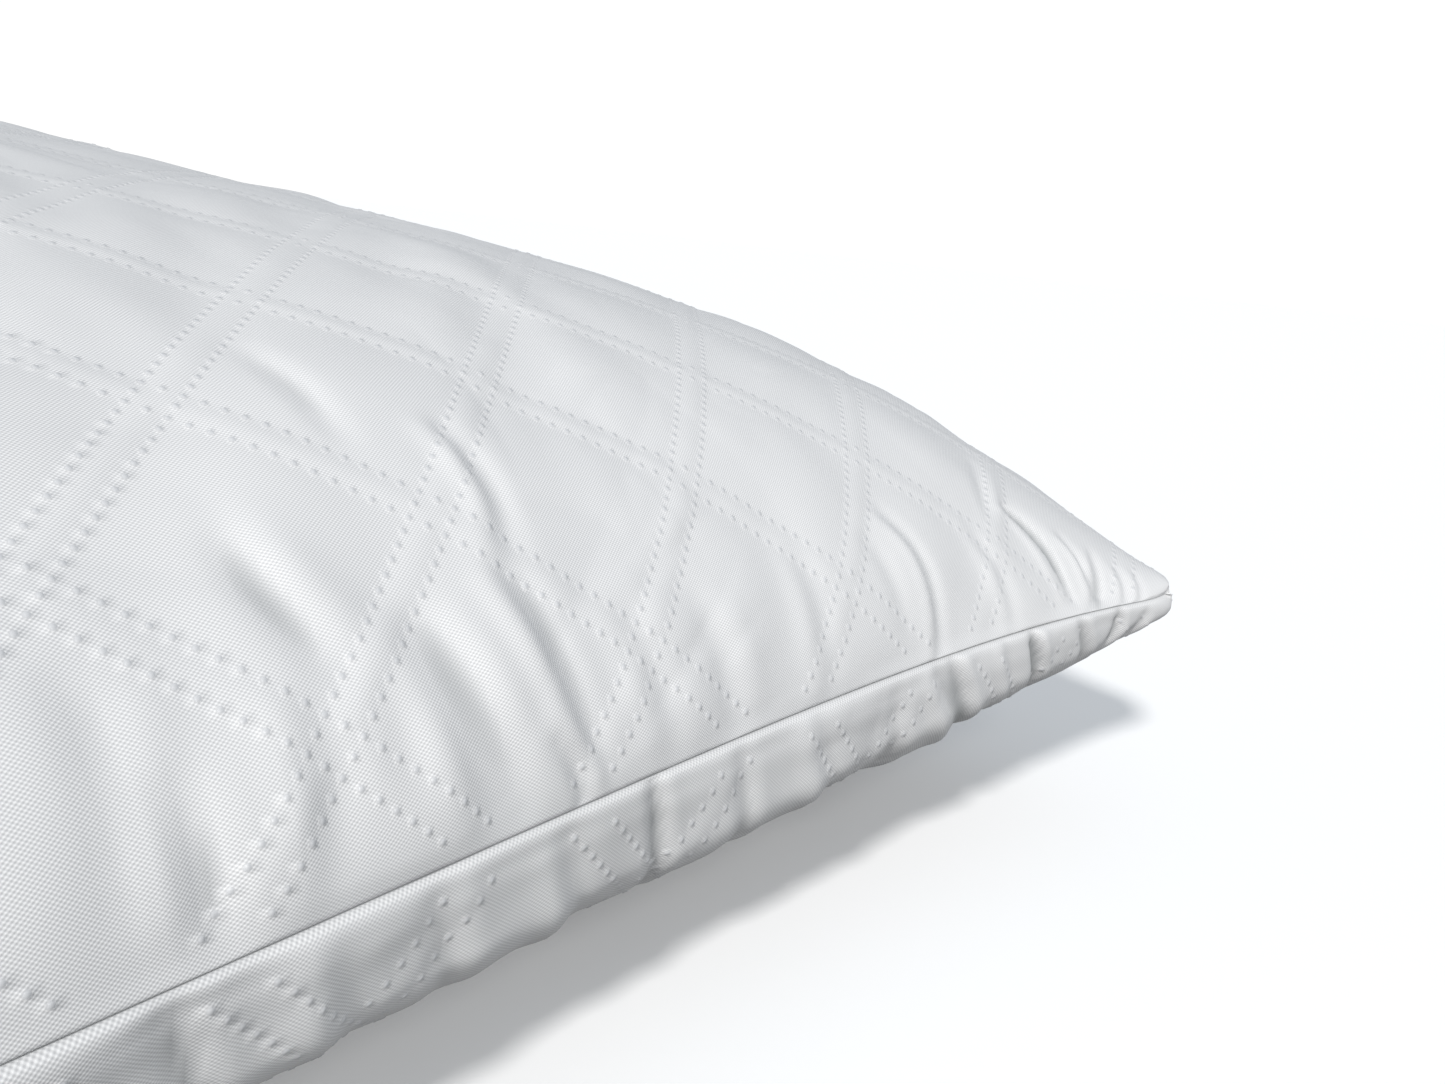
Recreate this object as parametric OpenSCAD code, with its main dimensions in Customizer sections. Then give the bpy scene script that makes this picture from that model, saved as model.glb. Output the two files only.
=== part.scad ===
// Bed pillow: two quilted panels sewn together at a knife-edge seam round a soft fibre fill.
// It lies on its belly. The origin is on the resting face, under the middle of the pillow.

/* [Pillow] */
// Length along X, from corner to corner
pillow_length = 700; // [600:10:900]
// Depth along Y, from corner to corner
pillow_depth = 500; // [400:10:600]
// Height of the crown above the seam
crown_rise = 106; // [80:1:125]
// How far the belly would hang below the seam if nothing held it up
belly_drop = 68; // [62:1:90]
// Height of the seam above the resting face, halfway along the long sides
seam_height = 51; // [35:1:55]
// How much higher the seam is at the corners, which stand clear of the resting face
corner_lift = 11; // [0:1:16]
// How far the short ends pull in between the corners
end_pull = 20; // [5:1:35]
// How far the long sides pull in between the corners
side_pull = 32; // [5:1:45]

/* [Quilted panel] */
// Thickness of the woven face fabric, with its brushed nap
fabric_thickness = 1; // [0.8:0.1:1.5]
// Thickness of the wadding under the face fabric
wadding_thickness = 6; // [4:0.5:8]
// Thickness of the non-woven lining that the wadding is welded to
lining_thickness = 0.8; // [0.5:0.1:1]
// Width of the turned-in seam allowance
allowance_width = 10; // [8:0.5:12]
// Gap between the two panels where the thread and the label lie
seam_gap = 1.2; // [1.2:0.1:2]

/* [Sewing] */
// Distance from the pillow's edge in to the line of stitches
stitch_inset = 1.6; // [1.2:0.1:3]
// Diameter of the seam thread
thread_diameter = 0.6; // [0.4:0.1:0.6]
// Diameter of the overlocked bead on the raw edges
overlock_diameter = 2.2; // [1.5:0.1:2.4]
// Length of the filling opening in the back seam, sewn shut last
opening_length = 240; // [150:10:300]

/* [Care label] */
// Width of the label along the seam
label_width = 32; // [20:1:50]
// How far the label stands out of the seam
label_length = 17; // [10:1:18]
// Thickness of the folded label
label_thickness = 0.35; // [0.2:0.05:0.4]

/* [Hidden] */

// Cells of the curved surfaces along X and Y
cells_x = 20;
cells_y = 16;
// Exponents that set how full the pillow is towards its ends and its long sides
end_power = 2.5;
end_fullness = 0.3;
side_power = 3.2;
side_fullness = 0.8;
// Exponents that set how the edges draw in between the corners
end_pull_power = 4;
side_pull_power = 5;
// Clear space between one layer and the next
layer_gap = 0.3;
// Clear space between the turned-in allowance and the layers above it
allowance_gap = 0.1;
// Depth of each layer's outer side below the pillow's surface
wadding_depth = fabric_thickness + layer_gap;
lining_depth = wadding_depth + wadding_thickness + layer_gap;
fill_depth = lining_depth + lining_thickness + layer_gap;
// Heights above the seam's mid-plane where the layers of a panel start
allowance_base = seam_gap / 2;
allowance_top = allowance_base + fabric_thickness;
layer_base = allowance_top + allowance_gap;
// The overlocked bead lies just inside the raw edge, and the fill just inside the bead
overlock_inset = allowance_width + overlock_diameter / 2 + layer_gap;
fill_inset = overlock_inset + overlock_diameter / 2 + 1.2;
// The thread lies in the upper half of the gap between the panels, the label in the lower half
thread_lift = 0.2;
label_lift = -0.25 - label_thickness / 2;
// How far in from the pillow's edge the label is caught by the seam
label_caught = 8;
// Place of the label along the left end, as a share of half the depth
label_place = -0.35;
// Ends of the seam runs, as a share of half the side
run_end = 0.985;
overlock_end = 0.94;
run_rings = 24;
thread_sides = 6;

fabric_colour = [0.93, 0.94, 0.955];
wadding_colour = [0.97, 0.97, 0.97];
lining_colour = [0.88, 0.89, 0.9];
fill_colour = [0.98, 0.98, 0.97];
thread_colour = [0.9, 0.91, 0.93];
label_colour = [0.96, 0.96, 0.95];

// s runs from -1 at the left end to 1 at the right end, t from -1 at the front to 1 at the back
function spread(i, cells) = sin(90 * (2 * i / cells - 1));
function half_length(t, inset) = pillow_length / 2 - inset - end_pull * (1 - pow(abs(t), end_pull_power));
function half_depth(s, inset) = pillow_depth / 2 - inset - side_pull * (1 - pow(abs(s), side_pull_power));
function seam_z(s) = seam_height + corner_lift * s * s;
function fullness(s, t) =
    pow(1 - pow(abs(s), end_power), end_fullness) * pow(1 - pow(abs(t), side_power), side_fullness);

// A point at height lift from the seam's mid-plane, with the pillow's edge moved in by inset
function seam_point(s, t, inset, lift) =
    [s * half_length(t, inset), t * half_depth(s, inset), seam_z(s) + lift];

// A point on the layer that lies depth below the crown (up = 1) or above the belly (up = -1)
function layer_point(s, t, up, inset, depth, lift) =
    let (edge = seam_point(s, t, inset, up * lift))
    let (rise = up > 0 ? crown_rise - depth - lift : belly_drop - depth - lift)
    [edge[0], edge[1], max(depth, edge[2] + up * rise * fullness(s, t))];

function layer_grid(up, inset, depth, lift) = [
    for (j = [0 : cells_y], i = [0 : cells_x])
        layer_point(spread(i, cells_x), spread(j, cells_y), up, inset, depth, lift)
];

// The cells round the edge of a grid, counter-clockwise from the front left corner
edge_cells = concat(
    [for (i = [0 : cells_x - 1]) [i, 0]],
    [for (j = [0 : cells_y - 1]) [cells_x, j]],
    [for (i = [cells_x : -1 : 1]) [i, cells_y]],
    [for (j = [cells_y : -1 : 1]) [0, j]]
);
edge_count = len(edge_cells);
grid_count = (cells_x + 1) * (cells_y + 1);

function edge_ring(inset, lift) = [
    for (c = edge_cells) seam_point(spread(c[0], cells_x), spread(c[1], cells_y), inset, lift)
];

function flipped(faces, flip) = flip ? [for (f = faces) [f[2], f[1], f[0]]] : faces;

// Triangles of a grid whose first point is number first, split along the diagonals that meet the corners
function grid_faces(first) = [
    for (j = [0 : cells_y - 1], i = [0 : cells_x - 1])
        let (a = first + j * (cells_x + 1) + i)
        let (b = a + 1)
        let (c = b + cells_x + 1)
        let (d = a + cells_x + 1)
        let (rising = (i < cells_x / 2) == (j < cells_y / 2))
        each rising ? [[a, c, b], [a, d, c]] : [[a, d, b], [b, d, c]]
];

function grid_edge(first) = [for (c = edge_cells) first + c[1] * (cells_x + 1) + c[0]];
function ring_edge(first) = [for (k = [0 : edge_count - 1]) first + k];

// Triangles between two closed rows of points
function band_faces(upper, lower) = [
    for (k = [0 : len(upper) - 1])
        let (n = (k + 1) % len(upper))
        each [[upper[k], upper[n], lower[k]], [lower[k], upper[n], lower[n]]]
];

// One layer of a panel, from its outer side to its inner side, open towards the other panel
module layer(up, depth, thickness) {
    outer = layer_grid(up, depth, depth, layer_base);
    inner = layer_grid(up, depth + thickness, depth + thickness, layer_base);
    faces = concat(
        grid_faces(0),
        flipped(grid_faces(grid_count), true),
        band_faces(grid_edge(0), grid_edge(grid_count))
    );
    polyhedron(concat(outer, inner), flipped(faces, up < 0), convexity = 4);
}

// The face fabric, whose edge turns in between the panels as the seam allowance
module face_fabric(up) {
    outer = layer_grid(up, 0, 0, allowance_base);
    lower_ring = edge_ring(allowance_width, up * allowance_base);
    upper_ring = edge_ring(allowance_width, up * allowance_top);
    inner = layer_grid(up, fabric_thickness, fabric_thickness, allowance_top);
    first_lower = grid_count;
    first_upper = first_lower + edge_count;
    first_outer = first_upper + edge_count;
    faces = concat(
        flipped(grid_faces(0), true),
        band_faces(ring_edge(first_upper), grid_edge(0)),
        band_faces(ring_edge(first_lower), ring_edge(first_upper)),
        band_faces(grid_edge(first_outer), ring_edge(first_lower)),
        grid_faces(first_outer)
    );
    polyhedron(concat(inner, lower_ring, upper_ring, outer), flipped(faces, up < 0), convexity = 6);
}

// A thin round tube through a list of points, its rings square to the X or the Y axis
module run(points, diameter, along_x) {
    count = len(points);
    rings = [
        for (p = points, k = [0 : thread_sides - 1])
            let (a = 360 * k / thread_sides)
            let (across = diameter / 2 * cos(a))
            p + [along_x ? 0 : across, along_x ? across : 0, diameter / 2 * sin(a)]
    ];
    walls = [
        for (r = [0 : count - 2], k = [0 : thread_sides - 1])
            let (n = (k + 1) % thread_sides)
            let (a = r * thread_sides)
            let (b = a + thread_sides)
            each [[a + k, b + k, a + n], [a + n, b + k, b + n]]
    ];
    caps = [
        [for (k = [0 : thread_sides - 1]) k],
        [for (k = [thread_sides - 1 : -1 : 0]) (count - 1) * thread_sides + k]
    ];
    forward = along_x ? points[count - 1][0] > points[0][0] : points[count - 1][1] < points[0][1];
    faces = concat(walls, caps);
    polyhedron(rings, forward ? faces : [for (f = faces) [for (k = [len(f) - 1 : -1 : 0]) f[k]]], convexity = 2);
}

// Points along a long side (t = -1 front, 1 back) from one share of its half length to another
function side_points(t, from, to, inset, lift) = [
    for (k = [0 : run_rings]) seam_point(from + (to - from) * k / run_rings, t, inset, lift)
];

// Points along a short end (s = -1 left, 1 right)
function end_points(s, from, to, inset, lift) = [
    for (k = [0 : run_rings]) seam_point(s, from + (to - from) * k / run_rings, inset, lift)
];

module side_thread(t, from, to) {
    run(side_points(t, from, to, stitch_inset, thread_lift), thread_diameter, true);
}

module end_thread(s) {
    run(end_points(s, -run_end, run_end, stitch_inset, thread_lift), thread_diameter, false);
}

module side_bead(t) {
    run(side_points(t, -overlock_end, overlock_end, overlock_inset, 0), overlock_diameter, true);
}

module end_bead(s) {
    run(end_points(s, -overlock_end, overlock_end, overlock_inset, 0), overlock_diameter, false);
}

// Share of half the length where the filling opening ends
opening_share = opening_length / pillow_length;

module top_face_fabric() {
    color(fabric_colour) face_fabric(1);
}

module top_quilt_wadding() {
    color(wadding_colour) layer(1, wadding_depth, wadding_thickness);
}

module top_lining() {
    color(lining_colour) layer(1, lining_depth, lining_thickness);
}

module bottom_face_fabric() {
    color(fabric_colour) face_fabric(-1);
}

module bottom_quilt_wadding() {
    color(wadding_colour) layer(-1, wadding_depth, wadding_thickness);
}

module bottom_lining() {
    color(lining_colour) layer(-1, lining_depth, lining_thickness);
}

// The loose fibre as it settles between the linings, a closed crowned form with a flat underside
module fibre_fill() {
    upper = layer_grid(1, fill_inset, fill_depth, 0);
    lower = layer_grid(-1, fill_inset, fill_depth, 0);
    faces = concat(
        grid_faces(0),
        flipped(grid_faces(grid_count), true),
        band_faces(grid_edge(0), grid_edge(grid_count))
    );
    rim = 0.5;
    raised = [for (p = upper) p + [0, 0, rim]];
    color(fill_colour) polyhedron(concat(raised, lower), faces, convexity = 2);
}

module front_seam_thread() {
    color(thread_colour) side_thread(-1, -run_end, run_end);
}

module back_seam_thread() {
    color(thread_colour) side_thread(1, -run_end, -opening_share);
    color(thread_colour) side_thread(1, opening_share, run_end);
}

module left_seam_thread() {
    color(thread_colour) end_thread(-1);
}

module right_seam_thread() {
    color(thread_colour) end_thread(1);
}

// The last line of stitches, which shuts the filling opening between the two back runs
module closing_thread() {
    end_clearance = 0.005;
    color(thread_colour) side_thread(1, -opening_share + end_clearance, opening_share - end_clearance);
}

module front_overlock() {
    color(thread_colour) side_bead(-1);
}

module back_overlock() {
    color(thread_colour) side_bead(1);
}

module left_overlock() {
    color(thread_colour) end_bead(-1);
}

module right_overlock() {
    color(thread_colour) end_bead(1);
}

// A blank folded label, caught by the left seam under its thread
module care_label() {
    edge = seam_point(-1, label_place, 0, label_lift);
    color(label_colour)
        translate([edge[0] - label_length, edge[1] - label_width / 2, edge[2] - label_thickness / 2])
            cube([label_length + label_caught, label_width, label_thickness]);
}

top_face_fabric();
top_quilt_wadding();
top_lining();
bottom_face_fabric();
bottom_quilt_wadding();
bottom_lining();
fibre_fill();
front_seam_thread();
back_seam_thread();
left_seam_thread();
right_seam_thread();
closing_thread();
front_overlock();
back_overlock();
left_overlock();
right_overlock();
care_label();
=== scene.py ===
"""A bed pillow: two quilted panels, sewn together at a knife-edge seam, round a soft fibre fill.

Lengths inside the shape functions are millimetres. A point of the cloth is named by u and v, its place on the
flat panel measured from the panel's middle: u towards the right end, v towards the back. sign is 1 for the
upper panel and -1 for the lower one.
"""
import math

import bpy
import numpy as np
from mathutils import Matrix, Vector


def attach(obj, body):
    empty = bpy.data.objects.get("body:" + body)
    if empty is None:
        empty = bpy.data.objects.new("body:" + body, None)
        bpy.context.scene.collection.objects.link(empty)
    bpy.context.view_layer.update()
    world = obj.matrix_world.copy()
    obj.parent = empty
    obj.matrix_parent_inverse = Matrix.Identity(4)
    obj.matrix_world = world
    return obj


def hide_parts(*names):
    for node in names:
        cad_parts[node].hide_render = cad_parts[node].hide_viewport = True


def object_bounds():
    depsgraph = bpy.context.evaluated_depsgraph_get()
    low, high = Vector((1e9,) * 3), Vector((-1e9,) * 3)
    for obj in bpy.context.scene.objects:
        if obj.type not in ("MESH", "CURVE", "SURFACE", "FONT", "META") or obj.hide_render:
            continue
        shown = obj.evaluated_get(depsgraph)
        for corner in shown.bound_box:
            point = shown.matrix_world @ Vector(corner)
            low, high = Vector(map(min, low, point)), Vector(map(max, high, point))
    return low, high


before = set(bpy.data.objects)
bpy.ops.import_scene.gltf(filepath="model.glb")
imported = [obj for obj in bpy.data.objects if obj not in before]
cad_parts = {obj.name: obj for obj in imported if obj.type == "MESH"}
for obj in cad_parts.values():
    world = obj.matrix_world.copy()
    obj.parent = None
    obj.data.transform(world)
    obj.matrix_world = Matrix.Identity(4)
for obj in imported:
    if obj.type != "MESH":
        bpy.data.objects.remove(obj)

MM = 0.001
cad_low, cad_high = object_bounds()


# ---------------- size and smooth shape
def even_lines(half, spacing):
    return np.linspace(-half, half, int(round(2 * half / spacing)) + 1)


HALF_LENGTH = (cad_high.x - cad_low.x) / 2 / MM
HALF_DEPTH = (cad_high.y - cad_low.y) / 2 / MM
HALF_SIZE = np.array([HALF_LENGTH, HALF_DEPTH])
DIAMONDS = 12
PITCHES = 28  # grid steps from one quilting line to the next
STEP = 2 * HALF_LENGTH / DIAMONDS / PITCHES
BASE_STEP = STEP / 4
BASE_U = even_lines(HALF_LENGTH, BASE_STEP)
BASE_V = even_lines(HALF_DEPTH, BASE_STEP)

SEAM_MIDDLE = 50.9
SEAM_RISE = 17.6
SEAM_DIP = 6.7
CROWN = 91.8
END_POWER, END_FULLNESS = 2.5, 0.333
SIDE_POWER, SIDE_FULLNESS = 3.64, 1.02
MIDDLE_FULLER = 0.2
BACK_FULLER = 0.09
MIDDLE_BACK_FULLER = 0.46
CREST = 0.28
CREST_ROUND = 0.1
BELLY = 67.3
BELLY_SOFTNESS = 2.0
BELLY_END_POWER, BELLY_END_FULLNESS = 4.25, 0.28
BELLY_SIDE_POWER, BELLY_SIDE_FULLNESS = 2.7, 0.63
BULGE_SIDE, BULGE_END = 3.0, 4.0
BULGE_PLACE = 16.0
CORNER_TUCK = 9.5
CORNER_REACH = 10.0
EVEN_REACH_UP, EVEN_REACH_DOWN, EVEN_REACH_ACROSS = 100, 120, 90


def from_edges(u, v):
    """Distances from the nearer end and from the nearer long side."""
    return HALF_LENGTH - np.abs(u), HALF_DEPTH - np.abs(v)


def powered(share, power, fullness):
    return np.clip(1 - share ** power, 0, 1) ** fullness


def seam_height(u):
    a = np.abs(u) / HALF_LENGTH
    return SEAM_MIDDLE + SEAM_RISE * a ** 2 - SEAM_DIP * a ** 4


def crown_height(u, v):
    """Height of the upper panel over the resting face. The crest lies a little behind the middle."""
    a = np.abs(u) / HALF_LENGTH
    t = v / HALF_DEPTH
    bent = CREST - np.sqrt((t - CREST) ** 2 + CREST_ROUND ** 2)
    lean = 1.5 * bent * (1 - bent ** 2 / 3)
    middle = 0.5 - a ** 2
    rise = powered(a, END_POWER, END_FULLNESS) * powered(np.abs(t), SIDE_POWER, SIDE_FULLNESS)
    fuller = 1 + MIDDLE_FULLER * middle + BACK_FULLER * lean + MIDDLE_BACK_FULLER * middle * lean
    return seam_height(u) + CROWN * rise * fuller


def belly_height(u, v):
    """Height of the lower panel, which is flat where it rests."""
    a = np.abs(u) / HALF_LENGTH
    b = np.abs(v) / HALF_DEPTH
    drop = powered(a, BELLY_END_POWER, BELLY_END_FULLNESS) * powered(b, BELLY_SIDE_POWER, BELLY_SIDE_FULLNESS)
    height = seam_height(u) - BELLY * drop
    return 0.5 * (height + np.sqrt(height ** 2 + BELLY_SOFTNESS ** 2))


def running(values, axis):
    """Running total along an axis, zero at the middle."""
    total = np.insert(np.cumsum(values, axis=axis), 0, 0.0, axis=axis)
    return total - np.take(total, [total.shape[axis] // 2], axis=axis)


def lengths_along(points):
    return np.append(0.0, np.cumsum(np.linalg.norm(np.diff(points, axis=0), axis=1)))


def resampled(points, length, places):
    """Points of a line at some places along its length."""
    return np.stack([np.interp(places, length, points[:, k]) for k in range(3)], axis=-1)


def even_out(surface, reach):
    """Spreads the cloth evenly along the first axis over the last reach millimetres of each row."""
    half = surface.shape[0] // 2
    first = half - int(reach / BASE_STEP)
    w = np.arange(half + 1 - first)
    result = surface.copy()
    for j in range(surface.shape[1]):
        for side in (1, -1):
            ids = half + side * np.arange(half + 1)
            row = surface[ids, j]
            length = lengths_along(row[:, [0, 2]])
            speed = length[first] - length[first - 1]
            bend = (length[-1] - length[first] - speed * w[-1]) / w[-1] ** 2
            target = length.copy()
            target[first:] = length[first] + speed * w + bend * w ** 2
            result[ids, j] = resampled(row, length, target)
    return result


def smooth_panel(height):
    """The unquilted panel on the base grid, with the cloth's own length kept along both directions."""
    z = height(BASE_U[:, None], BASE_V[None, :])
    steepest = 0.04
    plan = []
    for axis, lines in enumerate((BASE_U, BASE_V)):
        step = lines[1] - lines[0]
        flat_share = np.clip(1 - (np.diff(z, axis=axis) / step) ** 2, steepest, 1)
        plan.append(running(step * np.sqrt(flat_share), axis))
    return np.stack([*plan, z], axis=-1)


def grid_place(lines, places):
    """Places counted in even grid lines."""
    return (places - lines[0]) / (lines[1] - lines[0])


def sample(surface, u, v):
    """Points of a surface on the base grid at every pair of u and v, by straight interpolation."""
    i = np.clip(grid_place(BASE_U, u), 0, len(BASE_U) - 1.000001)
    j = np.clip(grid_place(BASE_V, v), 0, len(BASE_V) - 1.000001)
    i0, j0 = i.astype(int), j.astype(int)
    fi, fj = (i - i0)[..., None], (j - j0)[..., None]
    low = surface[i0, j0] * (1 - fi) + surface[i0 + 1, j0] * fi
    high = surface[i0, j0 + 1] * (1 - fi) + surface[i0 + 1, j0 + 1] * fi
    return low * (1 - fj) + high * fj


def tuck_corners(points, u, v):
    """Turns the sharp corners of the cloth in, as a sewn corner is."""
    from_end, from_side = from_edges(u, v)
    tuck = CORNER_TUCK * np.exp(-(((from_end + from_side) / CORNER_REACH) ** 1.5)) / math.sqrt(2)
    points[..., 0] -= np.sign(u) * tuck
    points[..., 1] -= np.sign(v) * tuck
    return points


def bulge_out(points, u, v):
    """Pushes the lower panel out beyond the seam a little way below it, as the filling does."""
    from_end, from_side = from_edges(u, v)
    swell_side = from_side / BULGE_PLACE * np.exp(1 - from_side / BULGE_PLACE)
    swell_end = from_end / BULGE_PLACE * np.exp(1 - from_end / BULGE_PLACE)
    middle_u = 4 * (u / HALF_LENGTH) ** 2 * (1 - (u / HALF_LENGTH) ** 2)
    middle_v = (1 - (v / HALF_DEPTH) ** 2) ** 2
    points[..., 1] += np.sign(v) * BULGE_SIDE * swell_side * middle_u
    points[..., 0] += np.sign(u) * BULGE_END * swell_end * middle_v
    return points


def base_surfaces():
    """Both smooth panels on the base grid; they share one seam."""
    u, v = np.meshgrid(BASE_U, BASE_V, indexing="ij")
    upper = even_out(smooth_panel(crown_height), EVEN_REACH_UP)
    lower = even_out(bulge_out(smooth_panel(belly_height), u, v), EVEN_REACH_DOWN)
    turned = even_out(lower.transpose(1, 0, 2)[..., [1, 0, 2]], EVEN_REACH_ACROSS)
    lower = turned.transpose(1, 0, 2)[..., [1, 0, 2]]
    for end in (0, -1):
        side = np.sign(u) == np.sign(BASE_U[end])
        lower[..., 0] *= np.where(side, upper[end, None, :, 0] / lower[end, None, :, 0], 1)
        side = np.sign(v) == np.sign(BASE_V[end])
        lower[..., 1] *= np.where(side, upper[:, end, None, 1] / lower[:, end, None, 1], 1)
    return tuck_corners(upper, u, v), tuck_corners(lower, u, v)


# ---------------- small irregularities
CREASES = ((20, 9), (75, 7), (135, 11), (105, 6))  # direction in degrees, width
CRUMPLE = 0.9
PUCKER = 0.8
PUCKER_REACH = 16
RELIEF_SEED, PUCKER_SEED, FOLD_SEED = {1: 10, -1: 50}, {1: 100, -1: 140}, {1: 7, -1: 8}
CREASE_BEND = 16
CREASE_PATCH = 38


def spline(x):
    """Cubic B-spline weight."""
    x = np.abs(x)
    return np.where(x < 1, 2 / 3 - x ** 2 + x ** 3 / 2, np.clip(2 - x, 0, None) ** 3 / 6)


def spline_sum(i, j, value_at):
    """Values of a table at the fractional places i and j, smoothed over with cubic B-splines."""
    i0, j0 = np.floor(i).astype(int), np.floor(j).astype(int)
    total = 0
    for di in (-1, 0, 1, 2):
        for dj in (-1, 0, 1, 2):
            total = total + spline(i - i0 - di) * spline(j - j0 - dj) * value_at(i0 + di, j0 + dj)
    return total


def noise(u, v, size, seed):
    """Smooth random field between -1 and 1, with features about size millimetres wide."""
    count = int(2 * max(HALF_LENGTH, HALF_DEPTH) / size) + 6
    table = np.random.default_rng(seed).uniform(-1, 1, (count, count))
    i, j = (u + HALF_LENGTH) / size + 1, (v + HALF_DEPTH) / size + 1
    return 1.6 * spline_sum(i, j, lambda a, b: table[a % count, b % count])


def crumple(u, v, seed):
    """Soft creases in drifting directions, in patches, as a handled cloth has."""
    bent_u = u + CREASE_BEND * noise(u, v, 55, seed)
    bent_v = v + CREASE_BEND * noise(u, v, 55, seed + 1)
    total = 0
    for k, (degrees, width) in enumerate(CREASES):
        angle = math.radians(degrees)
        across = bent_u * math.cos(angle) + bent_v * math.sin(angle)
        along = bent_v * math.cos(angle) - bent_u * math.sin(angle)
        wave = noise(across, 0.3 * along, width, seed + 10 + k)
        crease = np.clip(1 - 1.7 * np.abs(wave), 0, 1) ** 1.5
        patch = np.clip(0.15 + 1.5 * noise(u, v, CREASE_PATCH, seed + 20 + k), 0, 1)
        total = total + patch * (0.55 * wave - 0.5 * crease) * width / 10
    return total


def puckers(u, v, sign):
    """Small puckers that run in from the seams."""
    seed = PUCKER_SEED[sign]
    drawn_out = 0.12
    from_end, from_side = from_edges(u, v)
    total = 0
    for a, b, off, first in ((u, v * drawn_out, from_side, seed), (u * drawn_out, v, from_end, seed + 2)):
        wave = noise(a, b, 9, first) + 0.7 * noise(a, b, 17, first + 1)
        total = total + wave * np.exp(-off / PUCKER_REACH) * np.clip(off / 3, 0, 1)
    return PUCKER * total


# ---------------- quilting relief
LATTICE_U, LATTICE_V = 136, -110  # a crossing of two quilting lines, in grid steps from the middle
ROW = 2
PUFF = 0.9
CHANNEL = 0.22


def off_line(along):
    """Steps to the nearest quilting line, for a place in steps across the lines."""
    return np.abs((along + PITCHES // 2) % PITCHES - PITCHES // 2)


def quilting(u, v):
    """Height of the padded relief: diamonds that swell between the twin rows, and a low welt inside each."""
    row = ROW * STEP / math.sqrt(2)
    widest = PITCHES / 2 * STEP / math.sqrt(2)
    a = u / STEP - LATTICE_U
    b = v / STEP - LATTICE_V
    swell, welt = 1.0, 0.0
    for along in (a + b, a - b):
        off = off_line(along) * STEP / math.sqrt(2)
        inside = np.clip((off - row) / (widest - row), 0, 1)
        swell = swell * (1 - (1 - inside) ** 1.7)
        between = np.clip(1 - (off / row) ** 2, 0, 1)
        welt = np.maximum(welt, between)
    return PUFF * swell + CHANNEL * welt


def is_dot(u, v):
    """True at the cloth's grid points that carry a weld."""
    a = np.rint(u / STEP - LATTICE_U).astype(int)
    b = np.rint(v / STEP - LATTICE_V).astype(int)
    on_grid = (np.abs(u / STEP - LATTICE_U - a) < 0.01) & (np.abs(v / STEP - LATTICE_V - b) < 0.01)
    even = (a + b) % 2 == 0
    rows = (off_line(a + b) == ROW) | (off_line(a - b) == ROW)
    clear = (np.abs(u) < HALF_LENGTH - 1.5 * STEP) & (np.abs(v) < HALF_DEPTH - 1.5 * STEP)
    return on_grid & even & rows & clear


# ---------------- folds
# Each fold: three places on its line, as (from the right seam, from the front seam), its width, its height
# (below zero for a groove), and the depth of the groove on its right-hand side (below zero for a ridge).
FOLDS_UP = (
    ((204, 66), (203, 55), (205, 46), 2.6, 0.9, 0.8),
    ((206, 47), (208, 36), (205, 21), 3.6, 0.45, 0.5),
    ((222, 89), (220, 78), (219, 67), 3.0, -0.9, 0.0),
    ((244, 57), (243, 43), (238, 31), 3.6, -0.45, 0.0),
    ((245, 50), (243, 42), (237, 30), 3.6, -0.8, -0.4),
    ((269, 36), (268, 24), (269, 13), 4.0, -0.9, -0.5),
    ((266, 28), (266, 16), (265, 5), 3.4, 0.7, 0.6),
    ((262, 21), (261, 10), (260, 3), 3.0, -0.8, -0.3),
    ((248, 26), (249, 15), (251, 5), 3.4, 0.6, 0.4),
    ((234, 36), (235, 26), (237, 15), 4.0, 0.6, 0.5),
    ((229, 34), (228, 21), (225, 6), 3.4, 0.8, 0.8),
    ((221, 32), (218, 20), (214, 5), 3.2, -0.8, -0.5),
    ((210, 36), (206, 20), (203, 3), 3.0, 0.9, 0.9),
    ((206, 11), (203, 5), (202, 0), 2.0, -1.2, -0.5),
    ((190, 26), (188, 14), (187, 3), 3.6, 0.5, 0.6),
    ((168, 24), (166, 14), (166, 3), 3.6, -0.6, -0.3),
    ((140, 30), (141, 18), (143, 4), 3.4, 0.5, 0.4),
    ((105, 32), (101, 19), (104, 2), 2.4, 0.8, 0.9),
    ((112, 28), (110, 20), (110, 10), 3.0, -0.6, -0.2),
    ((76, 26), (74, 14), (75, 3), 2.4, 0.4, 0.4),
    ((49, 46), (56, 38), (61, 31), 2.2, -0.7, -0.4),
    ((51, 31), (47, 21), (45, 5), 1.7, -2.0, 0.3),
    ((56, 31), (52, 21), (50, 5), 1.2, 0.5, 0.0),
    ((40, 20), (38, 13), (39, 5), 1.6, 0.8, 0.8),
    ((31, 16), (36, 7), (43, 1), 1.8, 0.3, 1.2),
    ((24, 11), (26, 5), (30, 1), 1.4, 0.5, 0.6),
    ((18, 9), (20, 4), (24, 1), 1.3, 0.4, 0.5),
)
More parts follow.
